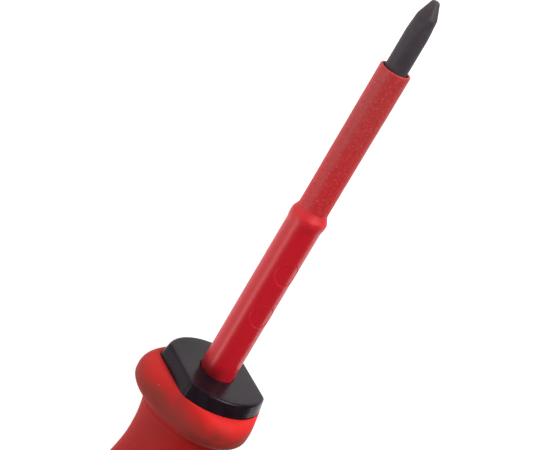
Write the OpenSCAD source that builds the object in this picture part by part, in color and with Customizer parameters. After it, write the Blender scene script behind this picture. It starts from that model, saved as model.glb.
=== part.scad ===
// Insulated cross-point screwdriver lying on its side.
// The shaft runs along +X with the point at the +X end, +Z is up, and the origin is the centre of the
// bounding box on the surface that the tool rests on. Every module below is drawn on its own axis, with
// z = 0 on the collar's front face, z > 0 towards the point and z < 0 into the handle; lay_down() then
// lays the whole tool along X.

/* [Blade] */
// Length of shaft that stands out of the handle's collar
blade_l = 97.8; // [80:0.2:125]
// Diameter of the steel blade
blade_d = 5.2; // [4:0.1:6]
// Length of bare steel at the point
bare_l = 16.8; // [14:0.2:18]
// Length of steel held inside the handle
tang_l = 72; // [60:1:78]

/* [Insulation] */
// Outside diameter of the full-length inner sleeve
inner_sleeve_d = 7.1; // [6.6:0.1:7.4]
// Outside diameter of the thick outer sleeve
outer_sleeve_d = 8.3; // [8:0.1:8.8]
// Length of the outer sleeve that shows in front of the collar
outer_sleeve_l = 45.2; // [30:0.2:70]

/* [Handle] */
// Length of the handle from the collar's front face to the butt
handle_l = 112; // [108:1:120]
// Radius of the collar's round sides
collar_r = 12.9; // [12.4:0.1:13]
// Distance from the axis to each of the collar's two flats
collar_flat = 10.6; // [9.5:0.1:11]
// Radius of the hanging hole
hang_hole_r = 3; // [2:0.25:3.5]
// Width of the butt across the hanging hole
hang_land_w = 20; // [16:1:22]

/* [Hidden] */
$fn = 64;

// Blade point: a tapered shank end, a cone, a small blunt nose and four tapering flutes
nose_r = 0.8;
nose_round = 0.3;
cone_l = 3.8;
cone_base_r = blade_d / 2 - 0.24;
taper_l = 8.5;
flute_l = 8.2;
flute_root_r = 0.42;
flute_bar = 4;

// Wings swaged on the tang, which stop the blade turning in the core
wing_w = 9;
wing_t = 2.4;
wing_l = 10;
wing_z = -66;

// Depths to which the sleeves run into the core, the inner sleeve's diameter where it is covered, and its
// mouth at the point
inner_sleeve_depth = 26;
outer_sleeve_depth = 14;
inner_waist_d = inner_sleeve_d - 0.5;
mouth_flare = 0.35;
mouth_l = 1.2;
sleeve_edge = 0.3;

// Thickened bead where the outer sleeve ends, and its two round pin marks
bead_r = outer_sleeve_d / 2 + 0.1;
bead_l = 3.9;
bead_ramp = 2.4;
pin_mark_r = 2.9;
pin_mark_depth = 0.16;
pin_mark_z = [18.1, 29.6];
pin_mark_angle = 183;
pin_rim_w = 0.18;
pin_rim_h = 0.07;

// Core: collar and round stem, with a bore for each thing that it grips
collar_h = 6;
collar_show = 3.5;
collar_edge = 1.3;
collar_lean = 0.6;
stem_r = 6.5;
stem_end = 86;

// Hard shell under the soft grip; the pairs are depth behind the collar's face and radius
shell_front = collar_h;
shell_profile = [[6, 8.3], [22, 8.3], [30, 8.9], [40, 10.7], [50, 11.9], [70, 11.9], [82, 11.4], [90, 10.9]];
shell_ring = [[90, 12.5], [92, 12.6], [97, 12.7], [100, 12.7]];
shell_end = 100;

// Soft grip: depth behind the collar's face, mean radius, and height of the three lobes on that radius
grip_stations = [[3.5, 13.05, 0.05], [4.3, 13.75, 0.75], [5.6, 14.35, 1.35], [7.4, 14.65, 1.65],
                 [9.2, 14.5, 1.6], [10.8, 13.65, 1.25], [12.2, 12.1, 0.85], [13.4, 11.4, 0.6],
                 [16.5, 10.8, 0.5], [20.5, 10.4, 0.5], [26, 10.45, 0.6], [34, 11.6, 0.9],
                 [44, 13.4, 1.3], [54, 14.45, 1.6], [62, 14.65, 1.65], [72, 14.3, 1.4],
                 [82, 13.4, 0.8], [90, 12.6, 0.15]];
grip_sides = 48;
grip_steps = 2;

// Inlays let into the three flat sides of the grip
inlay_from = 42;
inlay_to = 78;
inlay_w = 9;
inlay_sink = 0.15;

// Butt
cap_spigot_r = 8;
cap_spigot_l = 12;
cap_r = 12.7;
cap_round = 7.5;
hang_hole_depth = 105.5;
disc_r = 5.5;
disc_t = 1.2;
cross_l = 6;
cross_w = 1.4;
cross_depth = 0.35;

// Wider than the tool, for the blocks that cut its flats
wide = 40;

// Where the tool lies: the axis is as high as the grip's lowest point is deep
collar_x = (handle_l - blade_l) / 2;
axis_h = max([for (s = ring_depths(), b = [0:360 / grip_sides:359]) grip_r(b, s) * cos(b)]);

// Points on an arc about (cx, cy)
function arc(cx, cy, r, from, to, n = 8) =
    [for (i = [0:n]) let (a = from + (to - from) * i / n) [cx + r * cos(a), cy + r * sin(a)]];

// Smooth curve through column k of a list of stations, at depth s
function station_at(list, s, k, i = 0) =
    i < len(list) - 2 && s > list[i + 1][0] ? station_at(list, s, k, i + 1) :
    let (a = list[max(i - 1, 0)], b = list[i], c = list[i + 1], d = list[min(i + 2, len(list) - 1)],
         h = c[0] - b[0], t = (s - b[0]) / h,
         mb = i == 0 ? (c[k] - b[k]) / h : (c[k] - a[k]) / (c[0] - a[0]),
         mc = i + 2 > len(list) - 1 ? (c[k] - b[k]) / h : (d[k] - b[k]) / (d[0] - b[0]))
    b[k] * (2 * pow(t, 3) - 3 * t * t + 1) + c[k] * (3 * t * t - 2 * pow(t, 3))
    + h * (mb * (pow(t, 3) - 2 * t * t + t) + mc * (pow(t, 3) - t * t));

// Radius of the grip at angle b and depth s; the lobes are at 60, 180 and 300 degrees
function grip_r(b, s) =
    station_at(grip_stations, s, 1) - station_at(grip_stations, s, 2) * cos(3 * b);

// Depths of the grip's rings: every station and the steps between them
function ring_depths() =
    [for (i = [0:len(grip_stations) - 2], j = [0:grip_steps - 1])
        grip_stations[i][0] + (grip_stations[i + 1][0] - grip_stations[i][0]) * j / grip_steps,
     grip_stations[len(grip_stations) - 1][0]];

// Lays the tool along X with its lowest lobes on the ground
module lay_down() {
    translate([collar_x, 0, axis_h]) rotate([0, 90, 0]) children();
}

// Solid of revolution from pairs of depth and radius, closed on the axis
module turned(pairs) {
    first = pairs[0][0];
    last = pairs[len(pairs) - 1][0];
    rotate_extrude()
        polygon(concat([[0, -first]], [for (p = pairs) [p[1], -p[0]]], [[0, -last]]));
}

// Steel blade: cross point, round shank, winged tang
module blade() {
    color("dimgray") lay_down() difference() {
        union() {
            translate([0, 0, blade_l - cone_l])
                rotate_extrude() polygon([[0, 0], [cone_base_r, 0], [nose_r, cone_l - nose_round],
                                          [nose_r - nose_round, cone_l], [0, cone_l]]);
            translate([0, 0, blade_l - taper_l])
                cylinder(h = taper_l - cone_l, r1 = blade_d / 2, r2 = cone_base_r);
            translate([0, 0, -tang_l]) cylinder(h = tang_l + blade_l - taper_l, d = blade_d);
            translate([-wing_t / 2, -wing_w / 2, wing_z - wing_l / 2]) cube([wing_t, wing_w, wing_l]);
        }
        for (a = [45:90:315]) rotate(a) flute();
    }
}

// Cutter for one flute of the cross point: a square bar on its edge, leaning in towards the nose
module flute() {
    lean = atan((blade_d / 2 - flute_root_r) / flute_l);
    translate([flute_root_r, 0, blade_l]) rotate([0, -lean, 0]) rotate(-45)
        translate([0, 0, -flute_l - flute_bar]) cube([flute_bar, flute_bar, flute_l + 2 * flute_bar]);
}

// Thin full-length insulation on the blade, a little thinner where the outer sleeve and the core cover it
module inner_sleeve() {
    r = inner_sleeve_d / 2;
    front = blade_l - bare_l;
    color("firebrick") lay_down() rotate_extrude()
        polygon([[blade_d / 2, -inner_sleeve_depth], [inner_waist_d / 2, -inner_sleeve_depth],
                 [inner_waist_d / 2, outer_sleeve_l], [r, outer_sleeve_l], [r, front - sleeve_edge],
                 [r - sleeve_edge, front], [blade_d / 2 + mouth_flare, front],
                 [blade_d / 2, front - mouth_l]]);
}

// Thick outer insulation, with a bead at its front and two round pin marks on one side
module outer_sleeve() {
    r = outer_sleeve_d / 2;
    ri = inner_waist_d / 2;
    front = outer_sleeve_l;
    color("crimson") lay_down() difference() {
        union() {
            rotate_extrude()
                polygon([[ri, -outer_sleeve_depth], [r, -outer_sleeve_depth], [r, front - bead_l - 0.6],
                         [bead_r, front - bead_l], [bead_r, front - bead_ramp],
                         [inner_sleeve_d / 2, front], [ri, front]]);
            pin_marks(pin_mark_r + pin_rim_w, r - 0.5, r + pin_rim_h);
        }
        pin_marks(pin_mark_r, r - pin_mark_depth, r + 1);
    }
}

// Round plugs that stand on the sleeve at its pin marks, between two radii
module pin_marks(plug_r, from_r, to_r) {
    for (z = pin_mark_z) intersection() {
        rotate(pin_mark_angle) translate([0, 0, z]) rotate([0, 90, 0]) cylinder(h = to_r, r = plug_r);
        translate([0, 0, z - plug_r - 1]) difference() {
            cylinder(h = 2 * plug_r + 2, r = to_r);
            translate([0, 0, -1]) cylinder(h = 2 * plug_r + 4, r = from_r);
        }
    }
}

// Outline of the collar's section across its flats, front edge rounded
function collar_side(half, lean) =
    concat([[0, 0]], arc(half - lean - collar_edge, -collar_edge, collar_edge, 90, 0),
           [[half, -collar_show], [half, -collar_h], [0, -collar_h]]);

// Hard core: collar with two flats, stem moulded round the tang and the sleeves
module handle_core() {
    color([0.1, 0.1, 0.11]) lay_down() difference() {
        union() {
            collar();
            translate([0, 0, -stem_end]) cylinder(h = stem_end - 1, r = stem_r);
        }
        translate([0, 0, -outer_sleeve_depth]) cylinder(h = outer_sleeve_depth + 5, d = outer_sleeve_d);
        translate([0, 0, -inner_sleeve_depth]) cylinder(h = inner_sleeve_depth, d = inner_waist_d);
        translate([0, 0, -tang_l]) cylinder(h = tang_l, d = blade_d);
        translate([-wing_t / 2, -wing_w / 2, wing_z - wing_l / 2]) cube([wing_t, wing_w, wing_l]);
    }
}

// Disc with a rounded front edge and two flats
module collar() {
    intersection() {
        rotate_extrude() polygon(collar_side(collar_r, collar_lean));
        translate([-wide / 2, 0, 0]) rotate([90, 0, 90]) linear_extrude(wide) {
            polygon(collar_side(collar_flat, collar_lean));
            mirror([1, 0]) polygon(collar_side(collar_flat, collar_lean));
        }
    }
}

// Hard shell: tube over the stem, with the ring that shows behind the soft grip
module handle_shell() {
    color("red") lay_down() difference() {
        turned(concat(shell_profile, shell_ring));
        translate([0, 0, -shell_end - 1]) cylinder(h = shell_end + 1, r = stem_r);
        translate([0, 0, -shell_end - 1]) cylinder(h = cap_spigot_l + 1, r = cap_spigot_r);
    }
}

// Three-lobed outside of the soft grip, as one closed polyhedron
module grip_body() {
    depths = ring_depths();
    n = grip_sides;
    m = len(depths);
    points = [for (s = depths, i = [0:n - 1])
        let (b = 360 * i / n) [grip_r(b, s) * cos(b), grip_r(b, s) * sin(b), -s]];
    sides = [for (j = [0:m - 2], i = [0:n - 1])
        let (p = j * n + i, q = j * n + (i + 1) % n) each [[p, p + n, q + n], [p, q + n, q]]];
    front = [for (i = [0:n - 1]) i];
    back = [for (i = [n - 1:-1:0]) (m - 1) * n + i];
    polyhedron(points, concat(sides, [front, back]));
}

// Soft grip: guard, waist and swell, with a seat for the collar, a bore for the shell and three windows
module soft_grip() {
    color([0.75, 0.12, 0.12]) lay_down() difference() {
        grip_body();
        intersection() {
            translate([0, 0, -collar_h]) cylinder(h = collar_h, r = collar_r);
            translate([-wide / 2, -collar_flat, -collar_h]) cube([wide, 2 * collar_flat, collar_h]);
        }
        turned(concat([[shell_front - 1, shell_profile[0][1]]], shell_profile,
                      [[91, shell_profile[len(shell_profile) - 1][1]]]));
        for (b = [0, 120, 240]) rotate(b) inlay_block(wide / 2);
    }
}

// Block with round ends, standing on the shell and reaching out to radius r
module inlay_block(r) {
    half = inlay_w / 2;
    for (s = [inlay_from + half, inlay_to - half])
        translate([0, 0, -s]) rotate([0, 90, 0]) cylinder(h = r, r = half);
    translate([0, -half, -inlay_to + half]) cube([r, inlay_w, inlay_to - inlay_from - inlay_w]);
}

// One inlay, its outside a shallow swell just below the grip's flat side
module grip_inlay(b) {
    mid = (inlay_from + inlay_to) / 2;
    color([0.12, 0.12, 0.13]) lay_down() rotate(b) difference() {
        intersection() {
            inlay_block(wide / 2);
            rotate_extrude() polygon(concat([[0, -inlay_from + 1]],
                [for (s = [inlay_from - 1:2:inlay_to + 1]) [grip_r(0, s) - inlay_sink, -s]],
                [[0, -inlay_to - 1]]));
        }
        turned(concat([[shell_front - 1, shell_profile[0][1]]], shell_profile,
                      [[91, shell_profile[len(shell_profile) - 1][1]]]));
    }
}

// Butt with a spigot in the shell, a round end, two flat lands and the hanging hole across it
module end_cap() {
    rear = handle_l;
    color([0.1, 0.1, 0.11]) lay_down() difference() {
        union() {
            translate([0, 0, -shell_end - 1]) cylinder(h = cap_spigot_l + 0.5, r = cap_spigot_r);
            intersection() {
                rotate_extrude() polygon(concat([[0, -shell_end]], [[cap_r, -shell_end]],
                    arc(cap_r - cap_round, -rear + cap_round, cap_round, 0, -90, 12), [[0, -rear]]));
                translate([-wide / 2, -hang_land_w / 2, -rear - 1]) cube([wide, hang_land_w, rear]);
            }
        }
        translate([0, 0, -hang_hole_depth]) rotate([90, 0, 0])
            cylinder(h = wide, r = hang_hole_r, center = true);
        translate([0, 0, -rear - 1]) cylinder(h = disc_t + 1, r = disc_r);
    }
}

// Disc in the butt, with a sunk cross that shows the point's shape
module symbol_disc() {
    color("whitesmoke") lay_down() translate([0, 0, -handle_l]) difference() {
        cylinder(h = disc_t, r = disc_r);
        for (a = [0, 90]) rotate(a) translate([-cross_l / 2, -cross_w / 2, -1])
            cube([cross_l, cross_w, 1 + cross_depth]);
    }
}

blade();
inner_sleeve();
outer_sleeve();
handle_core();
handle_shell();
soft_grip();
grip_inlay(120);  // grip_inlay_left
grip_inlay(240);  // grip_inlay_right
grip_inlay(0);  // grip_inlay_lower
end_cap();
symbol_disc();
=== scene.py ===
import math

import bmesh
import bpy
import numpy as np
from mathutils import Matrix, Vector


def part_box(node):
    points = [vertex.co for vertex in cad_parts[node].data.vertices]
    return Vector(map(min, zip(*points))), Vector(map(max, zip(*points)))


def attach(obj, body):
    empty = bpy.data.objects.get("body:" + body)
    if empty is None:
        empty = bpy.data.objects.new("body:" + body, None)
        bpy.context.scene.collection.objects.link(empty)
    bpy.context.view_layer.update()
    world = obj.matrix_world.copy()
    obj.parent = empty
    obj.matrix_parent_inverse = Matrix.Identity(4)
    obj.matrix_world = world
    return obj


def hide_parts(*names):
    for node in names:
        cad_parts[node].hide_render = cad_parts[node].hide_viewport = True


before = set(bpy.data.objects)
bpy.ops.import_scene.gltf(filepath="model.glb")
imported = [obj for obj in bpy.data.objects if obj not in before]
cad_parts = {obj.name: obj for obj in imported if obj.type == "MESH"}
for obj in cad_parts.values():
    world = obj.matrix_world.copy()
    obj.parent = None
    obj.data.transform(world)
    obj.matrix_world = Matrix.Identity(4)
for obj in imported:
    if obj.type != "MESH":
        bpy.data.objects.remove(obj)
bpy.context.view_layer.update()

# Every piece is drawn in millimetres on the tool's own axis: z is the distance in front of the collar's
# face (towards the point), and an angle is measured round the axis from straight down towards +Y.
# place() turns that into the frame's metres.
MM = 0.001
COLLAR_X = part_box("handle_core")[1].x
AXIS_Z = sum(corner.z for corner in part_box("inner_sleeve")) / 2
BUTT_Z = (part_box("end_cap")[0].x - COLLAR_X) / MM
POINT_Z = (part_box("blade")[1].x - COLLAR_X) / MM
SLEEVE_Z = (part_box("inner_sleeve")[1].x - COLLAR_X) / MM
STEP_Z = (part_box("outer_sleeve")[1].x - COLLAR_X) / MM
GRIP_REAR_Z = (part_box("soft_grip")[0].x - COLLAR_X) / MM
GRIP_FRONT_Z = (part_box("soft_grip")[1].x - COLLAR_X) / MM
SHELL_REAR_Z = (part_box("handle_shell")[0].x - COLLAR_X) / MM

BLADE_R = 2.6
INNER_R = 3.55
INNER_WAIST_R = 3.3
OUTER_R = 4.15
COLLAR_R = 12.9
COLLAR_FLAT = 10.6
STEM_R = 6.5
SHELL_BORE_R = 8.3
CAP_R = 12.7

# How far behind the collar's face the blade, the sleeves and the collar itself reach
TANG_DEPTH = 72.0
INNER_DEPTH = 26.0
OUTER_DEPTH = 14.0
COLLAR_L = 6.0


# ---------------------------------------------------------------- mesh tools

def place(z, radius, angle):
    """Frame coordinates, in metres, of points given on the tool's own axis in millimetres and radians."""
    z, radius, angle = np.broadcast_arrays(z, radius, angle)
    return np.stack([COLLAR_X + z * MM, radius * np.sin(angle) * MM,
                     AXIS_Z - radius * np.cos(angle) * MM], axis=-1)


def new_object(name, vertices, faces):
    """A smooth-shaded mesh object from points and faces, with its normals facing outwards."""
    mesh = bpy.data.meshes.new(name)
    mesh.from_pydata([tuple(v) for v in vertices], [], faces)
    shaper = bmesh.new()
    shaper.from_mesh(mesh)
    bmesh.ops.recalc_face_normals(shaper, faces=shaper.faces)
    shaper.to_mesh(mesh)
    shaper.free()
    mesh.shade_smooth()
    piece = bpy.data.objects.new(name, mesh)
    bpy.context.scene.collection.objects.link(piece)
    return piece


def skin(name, rings, loop=False):
    """A closed mesh over rings of points: a fan closes each end, unless a loop joins last to first."""
    rows, sides = rings.shape[:2]
    vertices = rings.reshape(-1, 3).tolist()
    faces = []
    for i in range(rows if loop else rows - 1):
        here, there = i * sides, ((i + 1) % rows) * sides
        for j in range(sides):
            k = (j + 1) % sides
            faces.append((here + j, here + k, there + k, there + j))
    if not loop:
        for start in (0, (rows - 1) * sides):
            centre = len(vertices)
            vertices.append(rings[start // sides].mean(axis=0).tolist())
            faces += [(start + j, start + (j + 1) % sides, centre) for j in range(sides)]
    return new_object(name, vertices, faces)


def rounded(path, steps=6):
    """A profile of (z, radius) points from corners given as (z, radius, fillet)."""
    corners = [np.array(p[:2], float) for p in path]
    fillets = [p[2] if len(p) > 2 else 0 for p in path]
    profile = []
    for i, corner in enumerate(corners):
        if fillets[i] == 0 or i in (0, len(corners) - 1):
            profile.append(corner)
            continue
        back, ahead = corners[i - 1] - corner, corners[i + 1] - corner
        back /= np.linalg.norm(back)
        ahead /= np.linalg.norm(ahead)
        half = math.acos(np.clip(back @ ahead, -1, 1)) / 2
        reach = fillets[i] / math.tan(half)
        middle = corner + (back + ahead) / np.linalg.norm(back + ahead) * fillets[i] / math.sin(half)
        first, last = corner + back * reach - middle, corner + ahead * reach - middle
        sweep = math.pi - 2 * half
        for step in range(steps + 1):
            share = step / steps
            blend = (math.sin((1 - share) * sweep) * first + math.sin(share * sweep) * last)
            profile.append(middle + blend / math.sin(sweep))
    return np.array(profile)


def dense(profile, step):
    """The same profile with no stretch longer than step."""
    points = [profile[0]]
    for a, b in zip(profile[:-1], profile[1:]):
        count = max(1, int(math.ceil(np.linalg.norm(b - a) / step)))
        points += [a + (b - a) * k / count for k in range(1, count + 1)]
    return np.array(points)


def lathe(name, profile, angles, relief=None, loop=False):
    """A turned piece. relief(z, radius, angle) is added to the radius, to give it what a lathe can't."""
    z, radius = profile[:, 0][:, None], profile[:, 1][:, None]
    angles = np.asarray(angles)[None, :]
    extra = relief(z, radius, angles) if relief else 0
    return skin(name, place(z + 0 * angles, radius + extra, angles), loop)


def circle(sides):
    return np.linspace(0, 2 * math.pi, sides, endpoint=False)


def smoothstep(low, high, value):
    share = np.clip((value - low) / (high - low), 0, 1)
    return share * share * (3 - 2 * share)


def finish_piece(piece, material, slot, *nodes):
    """Gives a piece its material, lets it ride on the only body, and hides the CAD nodes it stands for."""
    piece.data.materials.clear()
    piece.data.materials.append(material)
    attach(piece, "root")
    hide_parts(*nodes)


# ---------------------------------------------------------------- materials

class Shader:
    """A node material on object coordinates, so that every grain size is in metres on the object."""

    def __init__(self, name, **uniform):
        self.material = bpy.data.materials.new(name)
        self.material.use_nodes = True
        self.tree = self.material.node_tree
        self.surface = self.tree.nodes["Principled BSDF"]
        self.coords = self.tree.nodes.new("ShaderNodeTexCoord").outputs["Object"]
        for socket, value in uniform.items():
            self.surface.inputs[socket.replace("_", " ")].default_value = value

    def node(self, kind, inputs=(), **settings):
        made = self.tree.nodes.new(kind)
        for key, value in settings.items():
            setattr(made, key, value)
        for key, value in dict(inputs).items():
            if isinstance(value, bpy.types.NodeSocket):
                self.tree.links.new(value, made.inputs[key])
            else:
                made.inputs[key].default_value = value
        return made

    def stretched(self, x, y, z):
        return self.node("ShaderNodeMapping", {"Vector": self.coords, "Scale": (x, y, z)}).outputs[0]

    def noise(self, grain_mm, detail=3.0, roughness=0.5, coords=None):
        inputs = {"Vector": coords or self.coords, "Scale": 1000 / grain_mm, "Detail": detail,
                  "Roughness": roughness}
        return self.node("ShaderNodeTexNoise", inputs).outputs["Fac"]

    def cells(self, grain_mm, coords=None):
        inputs = {"Vector": coords or self.coords, "Scale": 1000 / grain_mm}
        return self.node("ShaderNodeTexVoronoi", inputs).outputs["Distance"]

    def along(self):
        """Distance in front of the collar's face, in millimetres."""
        x = self.node("ShaderNodeSeparateXYZ", {"Vector": self.coords}).outputs["X"]
        moved = self.math("SUBTRACT", x, COLLAR_X)
        return self.math("MULTIPLY", moved, 1 / MM)

    def across(self):
        """Distance to the side of the tool's axis, in millimetres."""
        y = self.node("ShaderNodeSeparateXYZ", {"Vector": self.coords}).outputs["Y"]
        return self.math("MULTIPLY", y, 1 / MM)

    def math(self, operation, a, b=0.0):
        return self.node("ShaderNodeMath", {0: a, 1: b}, operation=operation).outputs[0]

    def spread(self, value, low, high, to_low=0.0, to_high=1.0):
        inputs = {"Value": value, "From Min": low, "From Max": high, "To Min": to_low, "To Max": to_high}
        return self.node("ShaderNodeMapRange", inputs, interpolation_type="SMOOTHSTEP").outputs["Result"]

    def mix(self, share, a, b):
        made = self.node("ShaderNodeMix", data_type="RGBA")
        for key, value in ((0, share), (6, a), (7, b)):
            if isinstance(value, bpy.types.NodeSocket):
                self.tree.links.new(value, made.inputs[key])
            else:
                made.inputs[key].default_value = value if key == 0 else (*value, 1.0)
        return made.outputs[2]

    def bump(self, height, depth_mm, below=None):
        inputs = {"Height": height, "Strength": 1.0, "Distance": depth_mm * MM}
        if below:
            inputs["Normal"] = below
        return self.node("ShaderNodeBump", inputs).outputs["Normal"]

    def drive(self, **sockets):
        for socket, value in sockets.items():
            self.tree.links.new(value, self.surface.inputs[socket.replace("_", " ")])
        return self.material


def blackened_steel():
    """Black-oxide steel: turning marks round the shank, faint blotches, and wear at the point."""
    shader = Shader("blackened_steel", Metallic=0.05, Specular_IOR_Level=0.22)
    turned = shader.noise(0.5, 2.0, 0.6, shader.stretched(14, 1, 1))
    blotch = shader.noise(2.2, 3.0, 0.5)
    fine = shader.noise(0.12, 2.0, 0.6)
    tone = shader.mix(shader.spread(blotch, 0.3, 0.75), (0.042, 0.034, 0.040), (0.054, 0.044, 0.051))
    worn = shader.spread(shader.along(), POINT_Z - 5, POINT_Z + 0.5, 0.0, 0.30)
    tone = shader.mix(shader.math("MULTIPLY", worn, fine), tone, (0.15, 0.085, 0.080))
    rough = shader.spread(blotch, 0.3, 0.7, 0.52, 0.62)
    normal = shader.bump(fine, 0.006, shader.bump(turned, 0.006))
    return shader.drive(Base_Color=tone, Roughness=rough, Normal=normal)


def inner_insulation():
    """Matte red sleeve: a pale mottled grain, a few pale specks, a little faded towards the point."""
    shader = Shader("inner_insulation", IOR=1.45, Specular_IOR_Level=0.38, Subsurface_Weight=0.05,
                    Subsurface_Scale=0.0010)
    shader.surface.inputs["Subsurface Radius"].default_value = (1.0, 0.25, 0.2)
    cloud = shader.noise(7.0, 2.0, 0.5)
    grain = shader.noise(0.55, 4.0, 0.75)
    tone = shader.mix(shader.spread(cloud, 0.25, 0.75), (0.460, 0.012, 0.018), (0.500, 0.016, 0.022))
    faded = shader.spread(shader.along(), STEP_Z + 2, STEP_Z + 26)
    tone = shader.mix(faded, tone, (0.410, 0.024, 0.027))
    tone = shader.mix(shader.spread(grain, 0.48, 0.66, 0.0, 0.45), tone, (0.60, 0.10, 0.075))
    pale = shader.spread(shader.cells(2.3), 0.05, 0.09, 0.5, 0.0)
    tone = shader.mix(pale, tone, (0.74, 0.22, 0.14))
    rough = shader.spread(grain, 0.3, 0.7, 0.48, 0.60)
    normal = shader.bump(grain, 0.024, shader.bump(cloud, 0.02))
    return shader.drive(Base_Color=tone, Roughness=rough, Normal=normal)


def outer_insulation():
    """Glossier, deeper red sleeve: orange peel, faint flow lines, brighter at the bead, and painted shade next
    to the collar, most on the +Y side.
    """
    shader = Shader("outer_insulation", IOR=1.47, Specular_IOR_Level=0.75, Subsurface_Weight=0.10,
                    Subsurface_Scale=0.0015)
    shader.surface.inputs["Specular Tint"].default_value = (1.0, 0.50, 0.48, 1.0)
    shader.surface.inputs["Subsurface Radius"].default_value = (1.0, 0.2, 0.15)
    flow = shader.noise(2.5, 2.0, 0.5, shader.stretched(0.10, 1, 1))
    peel = shader.noise(0.7, 2.0, 0.5)
    fine = shader.noise(0.15, 2.0, 0.5)
    tone = shader.mix(shader.spread(flow, 0.25, 0.75), (0.485, 0.0070, 0.0160), (0.510, 0.0080, 0.0180))
    thin = shader.spread(shader.along(), STEP_Z - 5.0, STEP_Z - 3.0, 0.0, 0.30)
    tone = shader.mix(thin, tone, (0.60, 0.020, 0.026))
    # Painted shade: the sleeve is darkened within a few millimetres of the collar, most on the +Y side, where
    # the collar shades it.
    painted_collar_shade = shader.spread(shader.along(), 0.3, 4.0, 0.75, 0.0)
    side = shader.spread(shader.across(), -1.5, 3.0, 0.15, 1.0)
    tone = shader.mix(shader.math("MULTIPLY", painted_collar_shade, side), tone, (0.10, 0.006, 0.008))
    satin = shader.spread(flow, 0.3, 0.7, 0.32, 0.36)
    rough = shader.math("ADD", satin, shader.spread(shader.along(), STEP_Z - 3.5, STEP_Z - 1.5, 0.0, 0.22))
    normal = shader.bump(fine, 0.002, shader.bump(peel, 0.004))
    return shader.drive(Base_Color=tone, Roughness=rough, Normal=normal)


def core_plastic(name):
    """Satin black moulding: spark-eroded grain, slow unevenness and light scuffs."""
    shader = Shader(name, IOR=1.5, Specular_IOR_Level=0.12)
    shader.surface.inputs["Specular Tint"].default_value = (1.0, 0.86, 0.97, 1.0)
    grain = shader.noise(0.14, 2.0, 0.5)
    cloud = shader.noise(5.0, 3.0, 0.6)
    scuff = shader.spread(shader.noise(0.35, 2.0, 0.5, shader.stretched(1, 0.12, 0.3)), 0.62, 0.72)
    tone = shader.mix(shader.spread(cloud, 0.35, 0.7), (0.0085, 0.0045, 0.0070), (0.0125, 0.0070, 0.0110))
    tone = shader.mix(shader.math("MULTIPLY", scuff, 0.08), tone, (0.055, 0.047, 0.052))
    satin = shader.spread(cloud, 0.3, 0.7, 0.23, 0.29)
    rough = shader.math("ADD", satin, shader.math("MULTIPLY", scuff, 0.05))
    normal = shader.bump(grain, 0.0005, shader.bump(cloud, 0.02))
    return shader.drive(Base_Color=tone, Roughness=rough, Normal=normal)


def grip_rubber():
    """Matte soft-touch red: painted shade on the +Y side and behind the guard, a brownish band on the guard's
    crest that is partly grime and partly painted shade, with lint.
    """
    shader = Shader("grip_rubber", IOR=1.42, Specular_IOR_Level=0.18, Sheen_Weight=0.02, Sheen_Roughness=0.5)
    shader.surface.inputs["Sheen Tint"].default_value = (1.0, 0.6, 0.55, 1.0)
    cloud = shader.noise(7.0, 2.0, 0.5)
    patch = shader.noise(3.0, 2.0, 0.5)
    grain = shader.noise(0.25, 3.0, 0.6)
    tone = shader.mix(shader.spread(cloud, 0.25, 0.75), (0.545, 0.012, 0.011), (0.62, 0.015, 0.013))
    # Painted shade: the grip is darkened towards its +Y side.
    painted_side_shade = shader.spread(shader.across(), 2.0, 13.0, 0.0, 0.58)
    tone = shader.mix(painted_side_shade, tone, (0.28, 0.012, 0.010))
    # Painted shade: darker on the narrow part behind the guard, where the guard shades it.
    painted_neck_shade = shader.spread(shader.along(), -15.0, -10.8, 0.45, 0.0)
    tone = shader.mix(painted_neck_shade, tone, (0.22, 0.007, 0.008))
    # A brownish band along the guard's crest: partly grime, partly painted shade where the crest turns down
    # and away from the light. The specks below sit in it.
    ahead = shader.math("ADD", shader.along(), shader.spread(cloud, 0.2, 0.8, -1.2, 1.2))
    crest_front = shader.spread(ahead, -8.4, -4.2, 1.0, 0.0)
    crest_back = shader.spread(ahead, -14.5, -10.0, 0.0, 1.0)
    crest_grime_and_shade = shader.math("MULTIPLY", crest_front, crest_back)
    smear = shader.spread(patch, 0.25, 0.70, 0.62, 0.92)
    tone = shader.mix(shader.math("MULTIPLY", crest_grime_and_shade, smear), tone, (0.21, 0.026, 0.019))
    speck = shader.spread(shader.cells(1.3), 0.07, 0.13, 0.6, 0.0)
    tone = shader.mix(shader.math("MULTIPLY", speck, crest_grime_and_shade), tone, (0.12, 0.02, 0.018))
    lint = shader.spread(shader.cells(3.1), 0.03, 0.05, 0.6, 0.0)
    tone = shader.mix(lint, tone, (0.55, 0.20, 0.17))
    rough = shader.spread(grain, 0.3, 0.7, 0.56, 0.68)
    normal = shader.bump(grain, 0.010, shader.bump(cloud, 0.04))
    return shader.drive(Base_Color=tone, Roughness=rough, Normal=normal)


def inlay_rubber():
    """Black soft-touch inlays with a fine grain and an uneven bloom."""
    shader = Shader("inlay_rubber", IOR=1.45, Sheen_Weight=0.12, Sheen_Roughness=0.5)
    cloud = shader.noise(4.0, 3.0, 0.6)
    grain = shader.noise(0.2, 3.0, 0.6)
    tone = shader.mix(shader.spread(cloud, 0.3, 0.7), (0.014, 0.013, 0.014), (0.026, 0.023, 0.024))
    rough = shader.spread(grain, 0.3, 0.7, 0.55, 0.7)
    return shader.drive(Base_Color=tone, Roughness=rough, Normal=shader.bump(grain, 0.015))


def shell_plastic():
    """Satin red hard plastic of the ring behind the grip."""
    shader = Shader("shell_plastic", IOR=1.48)
    cloud = shader.noise(5.0, 3.0, 0.6)
    grain = shader.noise(0.15, 2.0, 0.5)
    tone = shader.mix(shader.spread(cloud, 0.3, 0.7), (0.43, 0.010, 0.014), (0.49, 0.014, 0.017))
    rough = shader.spread(cloud, 0.3, 0.7, 0.30, 0.38)
    return shader.drive(Base_Color=tone, Roughness=rough, Normal=shader.bump(grain, 0.004))


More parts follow.
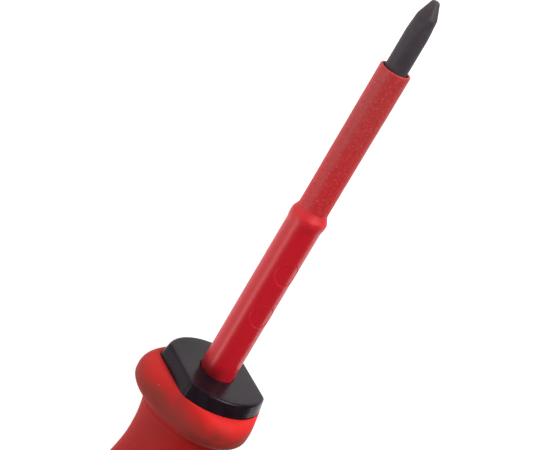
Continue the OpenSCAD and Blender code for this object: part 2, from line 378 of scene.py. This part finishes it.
def disc_plastic():
    """Off-white disc with a fine grain and a little yellowing."""
    shader = Shader("disc_plastic", IOR=1.5)
    cloud = shader.noise(3.0, 3.0, 0.6)
    grain = shader.noise(0.15, 2.0, 0.5)
    tone = shader.mix(shader.spread(cloud, 0.3, 0.7), (0.66, 0.63, 0.58), (0.75, 0.72, 0.67))
    rough = shader.spread(cloud, 0.3, 0.7, 0.34, 0.46)
    return shader.drive(Base_Color=tone, Roughness=rough, Normal=shader.bump(grain, 0.004))


# ---------------------------------------------------------------- blade

FLUTE_L = 8.2
FLUTE_NOSE = 0.5
FLUTE_ROOT = math.radians(14)
CONE_R = 2.36
NOSE_R = 0.84
WING_Z = (-71.0, -61.0)
WING_HALF_T = 1.2
WING_HALF_W = 4.5


def blade_angles(outer, flank):
    """Angles round one ring of the blade, with a column of points on each edge of the four flutes."""
    edge = min(math.asin(min(1.0, flank / outer)), math.radians(38))
    half = np.concatenate([np.linspace(0, edge, 6, endpoint=False),
                           np.linspace(edge, math.pi / 4, 10, endpoint=False)])
    other = math.pi / 2 - np.concatenate([np.linspace(math.pi / 4, edge, 10, endpoint=False),
                                          np.linspace(edge, 0, 6, endpoint=False)])
    return np.concatenate([quarter * math.pi / 2 + np.concatenate([half, other]) for quarter in range(4)])


def blade():
    """Steel blade: winged tang, shank with a tapered end, cross point with round-rooted flutes."""
    outline = rounded([(-TANG_DEPTH, 0.01), (-TANG_DEPTH, BLADE_R, 0.4), (POINT_Z - FLUTE_L, BLADE_R, 12),
                       (POINT_Z - 3.8, CONE_R, 1.6), (POINT_Z - 0.02, NOSE_R, 0.6), (POINT_Z, 0.01)], 8)
    outline = dense(outline, 6)
    fine = outline[:, 0] >= POINT_Z - FLUTE_L - 0.8
    outline = np.concatenate([outline[~fine], dense(outline[fine], 0.25)])
    wing_ends = [(z + step, BLADE_R) for z in WING_Z for step in (-0.15, 0.15)]
    outline = np.array(sorted(outline.tolist() + wing_ends, key=lambda p: p[0]))
    rings = []
    for z, outer in outline:
        behind = np.clip((POINT_Z - z) / FLUTE_L, 0, 1)
        flank = FLUTE_NOSE + (BLADE_R * math.sin(math.pi / 4) - FLUTE_NOSE) * behind ** 0.75
        angles = blade_angles(max(outer, 0.05), flank)
        away = np.abs((angles + math.pi / 4) % (math.pi / 2) - math.pi / 4)
        from_root = np.hypot(math.pi / 4 - away, FLUTE_ROOT) - FLUTE_ROOT
        radius = np.minimum(outer, flank / np.maximum(np.sin(math.pi / 4 - from_root), 1e-3))
        if WING_Z[0] < z < WING_Z[1]:
            wing = np.minimum(WING_HALF_T / np.maximum(np.abs(np.cos(angles)), 1e-3),
                              WING_HALF_W / np.maximum(np.abs(np.sin(angles)), 1e-3))
            radius = np.maximum(radius, wing)
        rings.append(place(z, radius, angles))
    piece = skin("blade_steel", np.array(rings))
    finish_piece(piece, blackened_steel(), "blackened_steel", "blade")


# ---------------------------------------------------------------- insulation

def wander(z, angle, size, seed):
    """Slow unevenness of a moulded surface, in millimetres."""
    phases = np.random.default_rng(seed).uniform(0, 2 * math.pi, 4)
    return size * (np.sin(z * 0.21 + angle + phases[0]) + np.sin(z * 0.47 - 2 * angle + phases[1])
                   + 0.6 * np.sin(z * 1.1 + 3 * angle + phases[2])
                   + 0.4 * np.sin(z * 1.9 - angle + phases[3]))


def inner_sleeve():
    """Thin sleeve, slimmer where it is covered, with a rounded end and a flared mouth round the blade."""
    profile = rounded([(-INNER_DEPTH, BLADE_R), (-INNER_DEPTH, INNER_WAIST_R), (STEP_Z - 0.6, INNER_WAIST_R),
                       (STEP_Z - 0.6, INNER_R), (SLEEVE_Z, INNER_R, 0.28),
                       (SLEEVE_Z - 0.12, BLADE_R + 0.42, 0.1),
                       (SLEEVE_Z - 1.2, BLADE_R + 0.02), (SLEEVE_Z - 3, BLADE_R), (-INNER_DEPTH, BLADE_R)])
    profile = dense(profile[:-1], 0.7)

    def relief(z, radius, angle):
        outside = smoothstep(STEP_Z - 0.5, STEP_Z + 0.5, z)
        outside = outside * smoothstep(INNER_WAIST_R, INNER_R - 0.1, radius)
        widening = -0.04 + 0.07 * smoothstep(STEP_Z, SLEEVE_Z, z)
        return outside * (widening + wander(z, angle, 0.008, 3))

    piece = lathe("inner_sleeve_skin", profile, circle(120), relief, loop=True)
    finish_piece(piece, inner_insulation(), "inner_insulation", "inner_sleeve")


PIN_MARKS = (18.1, 29.6)
PIN_MARK_ANGLE = math.radians(183)
PIN_MARK_R = 2.9
PIN_MARK_ROOM = 3.6
PIN_MARK_DEPTH = 0.07
PIN_RIM_H = 0.060
BEAD_SIDE = math.radians(235)


def outer_sleeve():
    """Thick sleeve: an uneven bead that slopes down to the inner sleeve, and two round pin marks."""
    profile = rounded([(-OUTER_DEPTH, INNER_WAIST_R), (-OUTER_DEPTH, OUTER_R), (STEP_Z - 4.6, OUTER_R, 6),
                       (STEP_Z - 3.4, OUTER_R + 0.12, 2.5), (STEP_Z - 1.9, OUTER_R + 0.08, 1.6),
                       (STEP_Z - 0.5, INNER_R + 0.06, 0.9), (STEP_Z, INNER_R - 0.06),
                       (STEP_Z, INNER_WAIST_R), (-OUTER_DEPTH, INNER_WAIST_R)])
    profile = dense(profile[:-1], 1.0)
    low, high = PIN_MARKS[0] - PIN_MARK_ROOM, PIN_MARKS[1] + PIN_MARK_ROOM
    fine = [p for p in dense(profile, 0.09) if low < p[0] < high and p[1] > OUTER_R - 0.1]
    start = next(i for i, p in enumerate(profile) if p[0] > low and p[1] > OUTER_R - 0.1)
    end = max(i for i, p in enumerate(profile) if p[0] < high and p[1] > OUTER_R - 0.1)
    profile = np.concatenate([profile[:start], fine, profile[end + 1:]])
    near = PIN_MARK_ANGLE + np.linspace(-1, 1, 100) * math.radians(52)
    far = PIN_MARK_ANGLE + np.linspace(math.radians(54), math.radians(306), 64)
    angles = np.concatenate([near, far])

    def relief(z, radius, angle):
        outside = smoothstep(OUTER_R - 0.4, OUTER_R - 0.1, radius)
        swell = np.exp(-((z - STEP_Z + 2.7) / 1.1) ** 2)
        lumps = 0.03 * np.sin(5 * angle) + 0.025 * np.sin(9 * angle + 2.1 * z)
        uneven = 0.06 + 0.10 * (1 + np.cos(angle - BEAD_SIDE)) / 2 + lumps
        rise = swell * uneven + wander(z, angle, 0.004, 8)
        turn = (angle - PIN_MARK_ANGLE + math.pi) % (2 * math.pi) - math.pi
        for mark in PIN_MARKS:
            away = np.hypot(z - mark, OUTER_R * turn)
            rise = rise - PIN_MARK_DEPTH * (1 - smoothstep(PIN_MARK_R - 0.16, PIN_MARK_R, away))
            rise = rise + PIN_RIM_H * np.exp(-((away - PIN_MARK_R - 0.05) / 0.10) ** 2)
        return outside * rise

    piece = lathe("outer_sleeve_skin", profile, angles, relief, loop=True)
    finish_piece(piece, outer_insulation(), "outer_insulation", "outer_sleeve")


# ---------------------------------------------------------------- handle

def collar_radius(angle, inset):
    """Outline of the collar: a circle with two flats, its corners just rounded."""
    flat = (COLLAR_FLAT - inset) / np.maximum(np.abs(np.sin(angle)), 0.05)
    return ((COLLAR_R - inset) ** -90.0 + flat ** -90.0) ** (-1 / 90.0)


COLLAR_LEAN = 0.6
COLLAR_EDGE = 0.75
COLLAR_FACE_INSET = COLLAR_LEAN + 2.5
STEM_TAPER = 80.0
STEM_L = 86.0
COLLAR_SHOW = -GRIP_FRONT_Z


def handle_core():
    """Black core: the collar with its rounded front edge, then the stem that runs inside the handle."""
    angles = circle(480)
    edge = rounded([(0, COLLAR_FACE_INSET), (0, COLLAR_LEAN, COLLAR_EDGE), (-COLLAR_SHOW, 0),
                    (-COLLAR_L, 0, 0.3), (-COLLAR_L, 4)], 9)
    face_edge = collar_radius(angles, COLLAR_FACE_INSET)
    rings = [place(-OUTER_DEPTH, OUTER_R, angles), place(-0.35, OUTER_R, angles),
             place(-0.12, OUTER_R + 0.06, angles), place(0, OUTER_R + 0.25, angles),
             place(0, OUTER_R + 0.4, angles)]
    for share in (0.3, 0.6, 0.9):
        rings.append(place(0, OUTER_R + share * (face_edge - OUTER_R), angles))
    rings += [place(z, collar_radius(angles, inset), angles) for z, inset in edge[:-1]]
    rings += [place(-COLLAR_L, STEM_R, angles), place(-STEM_TAPER, STEM_R, angles),
              place(-STEM_L, STEM_R - 0.5, angles), place(-STEM_L, BLADE_R, angles),
              place(-INNER_DEPTH, BLADE_R, angles), place(-INNER_DEPTH, INNER_WAIST_R, angles),
              place(-OUTER_DEPTH, INNER_WAIST_R, angles)]
    piece = skin("collar_and_core", np.array(rings), loop=True)
    finish_piece(piece, core_plastic("core_plastic"), "core_plastic", "handle_core")


# Depth behind the collar's face, mean radius, and height of the three lobes on it
GRIP_STATIONS = np.array([
    (7.4, 14.65, 1.65), (9.2, 14.5, 1.6), (10.8, 13.65, 1.25), (12.2, 12.1, 0.85), (13.4, 11.4, 0.6),
    (16.5, 10.8, 0.5), (20.5, 10.4, 0.5), (26, 10.45, 0.6), (34, 11.6, 0.9), (44, 13.4, 1.3),
    (54, 14.45, 1.6), (62, 14.65, 1.65), (72, 14.3, 1.4), (82, 13.4, 0.8), (90, 12.6, 0.15)])
GUARD_CREASE = 0.35
GUARD_CREASE_DEPTH = 12.9
# Depth and radius of the hard shell's tube, which the soft grip is moulded on
SHELL_TUBE = ((22, SHELL_BORE_R), (30, 8.6), (40, 10.2), (50, 11.5), (70, 11.6), (82, 11.2))
INLAY_DEPTHS = (42, 78)
INLAY_HALF_W = 4.5
INLAY_BED = 0.55
INLAY_ANGLES = {"grip_inlay_lower": 0, "grip_inlay_left": 120, "grip_inlay_right": 240}


def station_curve(depth, column):
    """Smooth curve through one column of the grip's stations."""
    x, y = GRIP_STATIONS[:, 0], GRIP_STATIONS[:, column]
    slope = np.gradient(y, x)
    slope[1:-1] = (y[2:] - y[:-2]) / (x[2:] - x[:-2])
    i = np.clip(np.searchsorted(x, depth, side="right") - 1, 0, len(x) - 2)
    span = x[i + 1] - x[i]
    t = (depth - x[i]) / span
    return (y[i] * (2 * t**3 - 3 * t**2 + 1) + y[i + 1] * (3 * t**2 - 2 * t**3)
            + span * (slope[i] * (t**3 - 2 * t**2 + t) + slope[i + 1] * (t**3 - t**2)))


def grip_radius(depth, angle):
    """Radius of the grip behind the guard's crest. The lobes are at 60, 180 and 300 degrees."""
    return station_curve(depth, 1) - station_curve(depth, 2) * np.cos(3 * angle)


def inlay_distance(depth, angle):
    """Distance outside the edge of the nearest inlay, measured on the grip; negative inside it."""
    turn = (angle + math.pi / 3) % (2 * math.pi / 3) - math.pi / 3
    across = turn * grip_radius(np.maximum(depth, GRIP_STATIONS[0, 0]), 0 * angle)
    middle = (INLAY_DEPTHS[0] + INLAY_DEPTHS[1]) / 2
    straight = (INLAY_DEPTHS[1] - INLAY_DEPTHS[0]) / 2 - INLAY_HALF_W
    beyond = np.maximum(np.abs(depth - middle) - straight, 0)
    return np.hypot(beyond, across) - INLAY_HALF_W


def soft_grip():
    """Soft grip: a guard that rolls out from the collar, a crease, a waist, a swell, and the inlays' beds."""
    angles = circle(288)
    crest = GRIP_STATIONS[0, 0]
    rings = []
    for share in np.linspace(0, 1, 22):
        turn = share * math.pi / 2
        depth = COLLAR_SHOW + (crest - COLLAR_SHOW) * (1 - math.cos(turn))
        inside, outside = collar_radius(angles, -0.02), grip_radius(crest, angles)
        rings.append(place(-depth, inside + (outside - inside) * math.sin(turn), angles))
    depths = np.concatenate([np.arange(crest + 0.4, 17, 0.2), np.arange(17, 89.6, 0.4)])
    for depth in depths:
        bed = (INLAY_BED + 0.02) * (1 - smoothstep(-0.15, 0.55, inlay_distance(depth, angles)))
        crease = GUARD_CREASE * math.exp(-((depth - GUARD_CREASE_DEPTH) / 0.45) ** 2)
        rings.append(place(-depth, grip_radius(depth, angles) - bed - crease, angles))
    rear = -GRIP_REAR_Z
    rings += [place(-(rear - 0.1), grip_radius(rear, angles) - 0.12, angles),
              place(-rear, grip_radius(rear, angles) - 0.4, angles), place(-rear, 10.9, angles)]
    for depth, radius in reversed(SHELL_TUBE):
        rings.append(place(-depth, radius, angles))
    seat = COLLAR_L + 0.1
    rings += [place(-seat, SHELL_BORE_R, angles), place(-seat, collar_radius(angles, -0.02), angles)]
    piece = skin("soft_grip_skin", np.array(rings), loop=True)
    finish_piece(piece, grip_rubber(), "grip_rubber", "soft_grip")


def cut(piece, cutter, edge_mm=0.0):
    """Cuts one piece with another, rounds the new sharp edges by edge_mm and clears what has no area."""
    tool = piece.modifiers.new("cut", "BOOLEAN")
    tool.operation = "DIFFERENCE"
    tool.solver = "EXACT"
    tool.object = cutter
    if edge_mm:
        edge = piece.modifiers.new("edge", "BEVEL")
        edge.width = edge_mm * MM
        edge.segments = 3
        edge.limit_method = "ANGLE"
        edge.angle_limit = math.radians(50)
    bpy.context.view_layer.update()
    evaluated = piece.evaluated_get(bpy.context.evaluated_depsgraph_get())
    mesh = bpy.data.meshes.new_from_object(evaluated)
    piece.modifiers.clear()
    piece.data = mesh
    bpy.data.objects.remove(cutter)
    shaper = bmesh.new()
    shaper.from_mesh(mesh)
    bmesh.ops.dissolve_degenerate(shaper, dist=0.001 * MM, edges=shaper.edges)
    shaper.to_mesh(mesh)
    shaper.free()
    mesh.shade_smooth()
    mesh.set_sharp_from_angle(angle=math.radians(40))


INLAY_RIB_PITCH = 3.0


def grip_inlay(node):
    """Soft inlay in its bed: edges rolled under, a shallow groove every few millimetres across it."""
    middle = (INLAY_DEPTHS[0] + INLAY_DEPTHS[1]) / 2
    straight = (INLAY_DEPTHS[1] - INLAY_DEPTHS[0]) / 2 - INLAY_HALF_W
    rounds = INLAY_HALF_W * np.sin(np.linspace(0, math.radians(89), 16))
    depths = np.concatenate([middle - straight - rounds[:0:-1],
                             np.arange(middle - straight, middle + straight, 0.3),
                             middle + straight + rounds])
    centre = math.radians(INLAY_ANGLES[node])
    rows = []
    for depth in depths:
        beyond = max(abs(depth - middle) - straight, 0)
        half = math.sqrt(INLAY_HALF_W ** 2 - beyond ** 2) / grip_radius(depth, 0)
        across = half * np.sin(np.linspace(-math.pi / 2, math.pi / 2, 33))
        inside = -inlay_distance(depth, across)
        roll = 0.35 * (1 - smoothstep(-0.05, 0.5, inside))
        groove = 0.16 * np.exp(-(((depth - middle) % INLAY_RIB_PITCH - INLAY_RIB_PITCH / 2) / 0.32) ** 2)
        groove = groove * smoothstep(0.9, 1.5, inside)
        top = place(-depth, grip_radius(depth, across) - 0.10 - roll - groove, centre + across)
        bed = place(-depth, grip_radius(depth, across[::-4]) - INLAY_BED, centre + across[::-4])
        rows.append(np.concatenate([top, bed]))
    piece = skin(node + "_ribbed", np.array(rows))
    finish_piece(piece, inlay_rubber(), "inlay_rubber", node)


def handle_shell():
    """Hard red shell: a tube inside the grip and the ring that shows between the grip and the butt."""
    tube = [(-COLLAR_L, STEM_R), (-COLLAR_L, SHELL_BORE_R)]
    tube += [(-depth, radius) for depth, radius in SHELL_TUBE] + [(-89.9, 10.9)]
    ring = [(-89.9, 12.2), (-90.4, 12.5, 0.3), (-92, 12.6, 0.8), (-96.4, 12.7, 0.6), (-96.9, 12.42, 0.2),
            (-97.5, 12.42, 0.2), (-98, 12.7, 0.5), (SHELL_REAR_Z + 0.02, 12.66, 0.35),
            (SHELL_REAR_Z + 0.02, 8), (-88, 8), (-88, STEM_R), (-COLLAR_L, STEM_R)]
    profile = dense(rounded(tube + ring)[:-1], 2.5)
    piece = lathe("shell_tube_and_ring", profile, circle(192), loop=True)
    finish_piece(piece, shell_plastic(), "shell_plastic", "handle_shell")


CAP_LAND = 10.0
HOLE_R = 3.0
HOLE_Z = -105.5
DISC_R = 5.5
DISC_T = 1.2


def end_cap():
    """Butt: a domed end with two flat lands, a flared hanging hole across it and a seat for the disc."""
    angles = circle(256)
    dome = [(SHELL_REAR_Z - 0.02, 12.2), (SHELL_REAR_Z - 0.02, CAP_R, 0.35), (BUTT_Z, CAP_R, 7.2),
            (BUTT_Z, DISC_R + 0.15, 0.12), (BUTT_Z + DISC_T, DISC_R)]
    rings = [place(-88.6, radius, angles) for radius in (0.05, 4, 7.7)]
    rings += [place(-88.9, 8, angles), place(SHELL_REAR_Z - 0.02, 8, angles)]
    for z, radius in dense(rounded(dome, 24), 0.8):
        flat = CAP_LAND / np.maximum(np.abs(np.sin(angles)), 0.05)
        rings.append(place(z, (radius ** -70.0 + flat ** -70.0) ** (-1 / 70.0), angles))
    rings += [place(BUTT_Z + DISC_T, radius, angles) for radius in (4, 2, 0.05)]
    piece = skin("butt", np.array(rings))
    half = [(9.3, HOLE_R, 1.5), (10.6, 4.6), (15, 6)]
    flare = rounded([(-across, *rest) for across, *rest in reversed(half)] + half, 8)
    rings = []
    for across, radius in dense(flare, 1.5):
        turn = circle(96)
        rings.append(np.stack([COLLAR_X + (HOLE_Z + radius * np.cos(turn)) * MM, across * MM + 0 * turn,
                               AXIS_Z + radius * np.sin(turn) * MM], axis=-1))
    cut(piece, skin("hole_cutter", np.array(rings)))
    finish_piece(piece, core_plastic("butt_plastic"), "core_plastic", "end_cap")


def symbol_disc():
    """Pale disc with a sunk cross that shows the point's shape."""
    profile = rounded([(BUTT_Z + DISC_T, 0.02), (BUTT_Z + DISC_T, DISC_R - 0.06),
                       (BUTT_Z + 0.02, DISC_R - 0.06, 0.2), (BUTT_Z + 0.02, 0.02)])
    piece = lathe("disc_with_cross", dense(profile, 0.8), circle(128))
    long, short, top = 3.0, 0.7, BUTT_Z + 0.35
    arm = [(long, short), (short, short), (short, long)]
    outline = arm + [(-x, y) for x, y in reversed(arm)]
    outline += [(-x, -y) for x, y in arm] + [(x, -y) for x, y in reversed(arm)]
    rings = [[(COLLAR_X + z * MM, y * MM, AXIS_Z + x * MM) for x, y in outline] for z in (BUTT_Z - 1, top)]
    cut(piece, skin("cross_cutter", np.array(rings)), 0.08)
    finish_piece(piece, disc_plastic(), "disc_plastic", "symbol_disc")


# ---------------------------------------------------------------- floor, light and camera

VIEW_TILT = math.radians(21.3)
VIEW_SPIN = math.radians(233)
VIEW_ROLL = math.radians(30.42)
VIEW_DISTANCE = 0.4153
VIEW_RIGHT = -0.00536
VIEW_UP = 0.03469
VIEW_LENS = 121.1
FLOOR_GLOW = 0.97
SURROUND_GLOW = 0.12


def across_axis(angle):
    """Unit vector across the tool's axis at an angle round it."""
    return Vector((0, math.sin(angle), -math.cos(angle)))


def camera():
    """A long lens that looks down on the tool with its point towards the camera."""
    axis = Vector((1, 0, 0))
    right, near = across_axis(VIEW_SPIN), across_axis(VIEW_SPIN - math.pi / 2)
    down = -math.cos(VIEW_TILT) * axis + math.sin(VIEW_TILT) * near
    ahead = -math.sin(VIEW_TILT) * axis - math.cos(VIEW_TILT) * near
    collar = Vector((COLLAR_X, 0, AXIS_Z))
    place_at = collar + right * VIEW_RIGHT - down * VIEW_UP - ahead * VIEW_DISTANCE
    frame_right = math.cos(VIEW_ROLL) * right - math.sin(VIEW_ROLL) * down
    frame_down = math.sin(VIEW_ROLL) * right + math.cos(VIEW_ROLL) * down
    turn = Matrix((frame_right, -frame_down, -ahead)).transposed()
    lens = bpy.data.cameras.new("camera")
    lens.lens = VIEW_LENS
    lens.sensor_width = 36
    lens.clip_start = 0.01
    lens.clip_end = 20
    eye = bpy.data.objects.new("camera", lens)
    eye.matrix_world = Matrix.Translation(place_at) @ turn.to_4x4()
    bpy.context.scene.collection.objects.link(eye)
    bpy.context.scene.camera = eye


def softbox(name, at, aim, size, power):
    """A rectangular soft light at a place, facing another, its long side along the tool."""
    light = bpy.data.lights.new(name, "AREA")
    light.shape = "RECTANGLE"
    light.size, light.size_y = size
    light.energy = power
    lamp = bpy.data.objects.new(name, light)
    back = (Vector(at) - Vector(aim)).normalized()
    side = (Vector((1, 0, 0)) - back * back.x).normalized()
    lamp.matrix_world = Matrix.Translation(at) @ Matrix((side, back.cross(side), back)).transposed().to_4x4()
    bpy.context.scene.collection.objects.link(lamp)


def studio():
    """Plain white floor that glows, a dim surround, a key light ahead and a low softbox on each side."""
    corners = [(-2.5, -2.5, 0), (2.5, -2.5, 0), (2.5, 2.5, 0), (-2.5, 2.5, 0)]
    floor = new_object("floor", corners, [(0, 1, 2, 3)])
    paper = Shader("floor_paper", Roughness=0.9, Emission_Strength=FLOOR_GLOW)
    paper.surface.inputs["Emission Color"].default_value = (1, 1, 1, 1)
    tone = paper.mix(paper.noise(400, 2.0), (0.24, 0.24, 0.24), (0.27, 0.27, 0.27))
    floor.data.materials.append(paper.drive(Base_Color=tone))
    world = bpy.data.worlds.new("surround")
    world.use_nodes = True
    world.node_tree.nodes["Background"].inputs["Color"].default_value = (1.0, 1.0, 1.0, 1)
    world.node_tree.nodes["Background"].inputs["Strength"].default_value = SURROUND_GLOW
    bpy.context.scene.world = world
    softbox("low_left", (-0.35, 1.25, 0.14), (0.03, 0, 0.02), (1.8, 0.34), 10)
    softbox("key", (0.92, -0.30, 0.80), (0.0, 0, 0), (0.7, 0.6), 20)
    softbox("low_right", (-0.47, -1.20, 0.19), (0.0, 0, 0.02), (0.5, 0.2), 0.8)
    bpy.context.scene.view_settings.view_transform = "Standard"
    bpy.context.scene.view_settings.look = "None"


blade()
inner_sleeve()
outer_sleeve()
handle_core()
soft_grip()
for inlay in INLAY_ANGLES:
    grip_inlay(inlay)
handle_shell()
end_cap()
symbol_disc()
camera()
studio()
